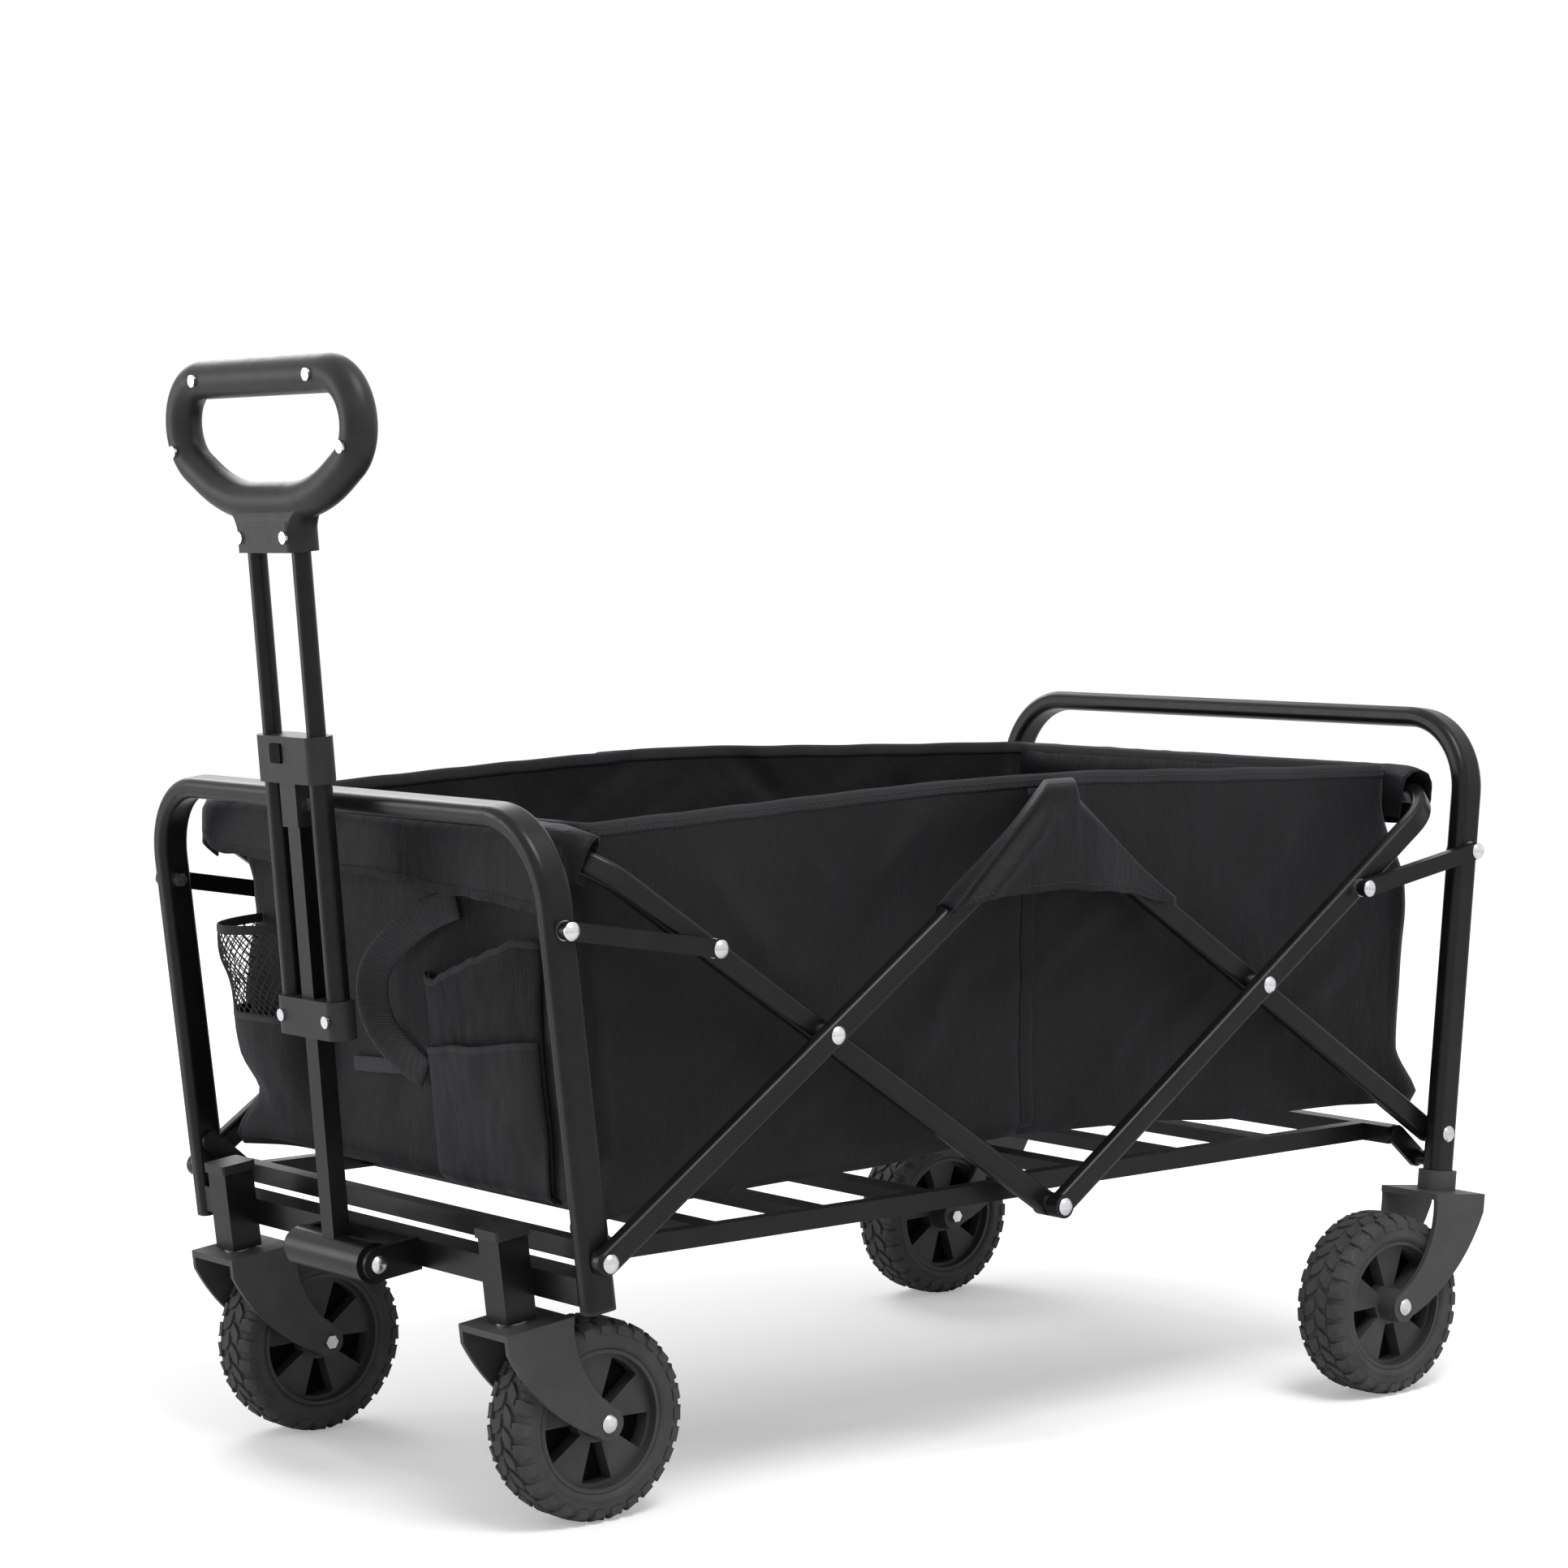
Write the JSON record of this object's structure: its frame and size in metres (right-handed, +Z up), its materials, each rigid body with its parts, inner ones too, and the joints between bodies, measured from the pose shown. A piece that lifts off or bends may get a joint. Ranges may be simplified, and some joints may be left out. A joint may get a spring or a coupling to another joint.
{
  "type": "folding wagon",
  "caption": "Collapsible wagon with a fabric tub on a folding scissor frame, swivel casters in front, fixed wheels behind and a telescopic pull handle with a loop grip.",
  "frame": {"origin": "on the ground under the middle of the tub, midway between the two end frames", "axes": "+X to the right side, -Y to the front where the handle is, +Z up"},
  "size_m": [0.614, 0.9932, 0.8231],
  "materials": {
    "coated_steel": "satin",
    "black_plastic": "matte",
    "rim_plastic": "matte",
    "button_plastic": "gloss",
    "zinc_steel": "bright",
    "tread_rubber": "matte",
    "black_fabric": "matte",
    "webbing": "matte"
  },
  "bodies": {
    "front_frame": {"front_frame_tube": "coated_steel", "leg_end_plugs": "black_plastic", "front_cross_bar": "coated_steel", "caster_posts": "coated_steel", "post_caps": "black_plastic", "handle_bracket": "coated_steel", "handle_pivot_bolt": "zinc_steel", "front_leg_bolts": "zinc_steel", "front_floor_lugs": "coated_steel"},
    "rear_frame": {"rear_frame_tube": "coated_steel", "rear_fork_left": "black_plastic", "rear_fork_right": "black_plastic", "rear_axles": "zinc_steel", "rear_leg_bolts": "zinc_steel", "rear_floor_lugs": "coated_steel"},
    "front_arm_pair": {"front_arms": "coated_steel", "front_arm_bolts": "zinc_steel"},
    "rear_arm_pair": {"rear_arms": "coated_steel", "rear_arm_bolts": "zinc_steel"},
    "front_hoop_frame": {"front_hoop": "coated_steel", "centre_bolts": "zinc_steel"},
    "rear_hoop_frame": {"rear_hoop": "coated_steel"},
    "front_stay_pair": {"front_stays": "coated_steel", "front_stay_rivets": "zinc_steel"},
    "rear_stay_pair": {"rear_stays": "coated_steel", "rear_stay_rivets": "zinc_steel"},
    "floor_front": {"floor_front_rails": "coated_steel", "floor_front_bars": "coated_steel"},
    "floor_rear": {"floor_rear_rails": "coated_steel", "floor_rear_bars": "coated_steel"},
    "bag": {"bag_shell": "black_fabric", "end_hems": "black_fabric", "side_flaps": "black_fabric", "front_pockets": "black_fabric", "strap_band": "webbing"},
    "handle_lower": {"handle_stem": "coated_steel", "handle_outer_tubes": "coated_steel", "handle_collar": "black_plastic", "handle_clamp": "black_plastic", "stem_ferrule": "black_plastic", "clamp_screws": "zinc_steel"},
    "handle_upper": {"handle_inner_tubes": "coated_steel", "handle_grip": "black_plastic", "grip_screws": "zinc_steel"},
    "button": {"release_button": "button_plastic"},
    "caster_left": {"caster_fork_left": "black_plastic", "caster_stem_left": "zinc_steel", "caster_axle_left": "zinc_steel"},
    "front_wheel_left": {"front_wheel_left_tyre": "tread_rubber", "front_wheel_left_rim": "rim_plastic"},
    "rear_wheel_left": {"rear_wheel_left_tyre": "tread_rubber", "rear_wheel_left_rim": "rim_plastic"},
    "caster_right": {"caster_fork_right": "black_plastic", "caster_stem_right": "zinc_steel", "caster_axle_right": "zinc_steel"},
    "front_wheel_right": {"front_wheel_right_tyre": "tread_rubber", "front_wheel_right_rim": "rim_plastic"},
    "rear_wheel_right": {"rear_wheel_right_tyre": "tread_rubber", "rear_wheel_right_rim": "rim_plastic"}
  },
  "joints": [
    {"name": "fold", "type": "hinge", "parent": "front_frame", "child": "front_arm_pair", "pos_m": [0, -0.41751, 0.20004], "axis": [1, 0, 0], "range_deg": [0, 48.1], "deforming": ["bag_shell", "end_hems", "side_flaps", "front_pockets", "strap_band"]},
    {"name": "front_cross", "type": "hinge", "parent": "front_arm_pair", "child": "front_hoop_frame", "pos_m": [0, -0.21618, 0.33789], "axis": [1, 0, 0], "range_deg": [-83.8, 0.6]},
    {"name": "top_cross", "type": "hinge", "parent": "front_arm_pair", "child": "rear_arm_pair", "pos_m": [0, 0, 0.48591], "axis": [1, 0, 0], "range_deg": [-83.8, 0.6]},
    {"name": "rear_cross", "type": "hinge", "parent": "rear_arm_pair", "child": "rear_hoop_frame", "pos_m": [0, 0.21618, 0.33789], "axis": [1, 0, 0], "range_deg": [-0.6, 83.8]},
    {"name": "rear_leg_pivot", "type": "hinge", "parent": "rear_arm_pair", "child": "rear_frame", "pos_m": [0, 0.41751, 0.20004], "axis": [1, 0, 0], "range_deg": [-0.6, 48.7]},
    {"name": "front_stay_pivot", "type": "hinge", "parent": "front_frame", "child": "front_stay_pair", "pos_m": [0, -0.44354, 0.42856], "axis": [1, 0, 0], "range_deg": [-0.6, 93.57]},
    {"name": "rear_stay_pivot", "type": "hinge", "parent": "rear_frame", "child": "rear_stay_pair", "pos_m": [0, 0.44354, 0.42856], "axis": [1, 0, 0], "range_deg": [-93.57, 0.6]},
    {"name": "front_floor_pivot", "type": "hinge", "parent": "front_frame", "child": "floor_front", "pos_m": [0, -0.39251, 0.19804], "axis": [1, 0, 0], "range_deg": [-0.6, 82.7]},
    {"name": "rear_floor_pivot", "type": "hinge", "parent": "rear_frame", "child": "floor_rear", "pos_m": [0, 0.39251, 0.19804], "axis": [1, 0, 0], "range_deg": [-82.7, 0.6]},
    {"name": "bag_lift", "type": "slide", "parent": "front_frame", "child": "bag", "axis": [0, -0.1132, 0.9936], "range_m": [-0.002, 0.2016]},
    {"name": "caster_swivel_left", "type": "hinge", "parent": "front_frame", "child": "caster_left", "pos_m": [-0.184, -0.43443, 0.1498], "axis": [0, -0.1132, 0.9936], "continuous": true},
    {"name": "front_wheel_left_spin", "type": "hinge", "parent": "caster_left", "child": "front_wheel_left", "pos_m": [-0.184, -0.37323, 0.072], "axis": [1, 0, 0], "continuous": true},
    {"name": "rear_wheel_left_spin", "type": "hinge", "parent": "rear_frame", "child": "rear_wheel_left", "pos_m": [-0.273, 0.34253, 0.072], "axis": [1, 0, 0], "continuous": true},
    {"name": "caster_swivel_right", "type": "hinge", "parent": "front_frame", "child": "caster_right", "pos_m": [0.184, -0.43443, 0.1498], "axis": [0, -0.1132, 0.9936], "continuous": true},
    {"name": "front_wheel_right_spin", "type": "hinge", "parent": "caster_right", "child": "front_wheel_right", "pos_m": [0.184, -0.37323, 0.072], "axis": [1, 0, 0], "continuous": true},
    {"name": "rear_wheel_right_spin", "type": "hinge", "parent": "rear_frame", "child": "rear_wheel_right", "pos_m": [0.273, 0.34253, 0.072], "axis": [1, 0, 0], "continuous": true},
    {"name": "handle_pivot", "type": "hinge", "parent": "front_frame", "child": "handle_lower", "pos_m": [0, -0.46072, 0.17297], "axis": [1, 0, 0], "range_deg": [-1.5, 85]},
    {"name": "handle_slide", "type": "slide", "parent": "handle_lower", "child": "handle_upper", "axis": [0, -0.0767, 0.9971], "range_m": [-0.13, 0]},
    {"name": "button_press", "type": "slide", "parent": "handle_lower", "child": "button", "axis": [0, 0.9971, 0.0767], "range_m": [0, 0.003], "stiffness_N_per_m": 800, "springref_m": -0.001}
  ],
  "couplings": [
    {"joint": "front_cross", "follows": "fold", "ratio": -1.7297},
    {"joint": "top_cross", "follows": "fold", "ratio": -1.7297},
    {"joint": "rear_cross", "follows": "fold", "ratio": 1.7297},
    {"joint": "rear_leg_pivot", "follows": "fold", "ratio": 1},
    {"joint": "front_stay_pivot", "follows": "fold", "ratio": 1.9328},
    {"joint": "rear_stay_pivot", "follows": "fold", "ratio": -1.9328},
    {"joint": "front_floor_pivot", "follows": "fold", "ratio": 1.7069},
    {"joint": "rear_floor_pivot", "follows": "fold", "ratio": -1.7069},
    {"joint": "bag_lift", "follows": "fold", "m_per_rad": 0.23776}
  ]
}
